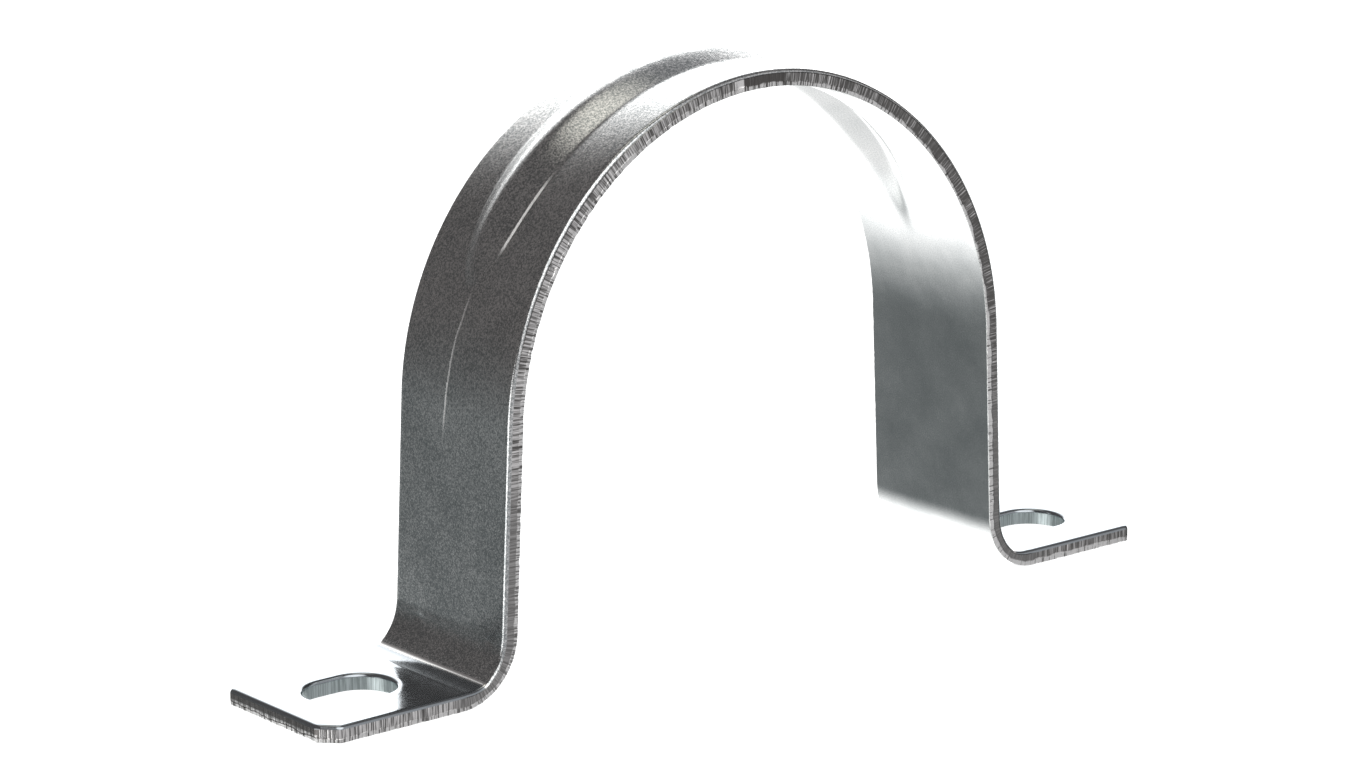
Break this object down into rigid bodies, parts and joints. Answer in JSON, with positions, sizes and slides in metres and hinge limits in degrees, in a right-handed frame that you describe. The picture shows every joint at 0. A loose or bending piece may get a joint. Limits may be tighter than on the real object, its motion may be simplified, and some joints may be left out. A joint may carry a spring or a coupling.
{
  "type": "pipe saddle clamp",
  "caption": "Zinc-plated steel strap bent to a tall arch over a pipe, with a pressed stiffening rib and slotted feet.",
  "frame": {"origin": "midway between the feet, on the plane of their undersides, under the arch", "axes": "+Y along the pipe, +X from foot to foot, +Z away from the mounting surface"},
  "size_m": [0.159, 0.026, 0.0869],
  "materials": {
    "zinc_plated_steel": "satin zinc plating over sheared and pressed strip"
  },
  "bodies": {
    "root": {"strap": "zinc_plated_steel"}
  },
  "joints": []
}
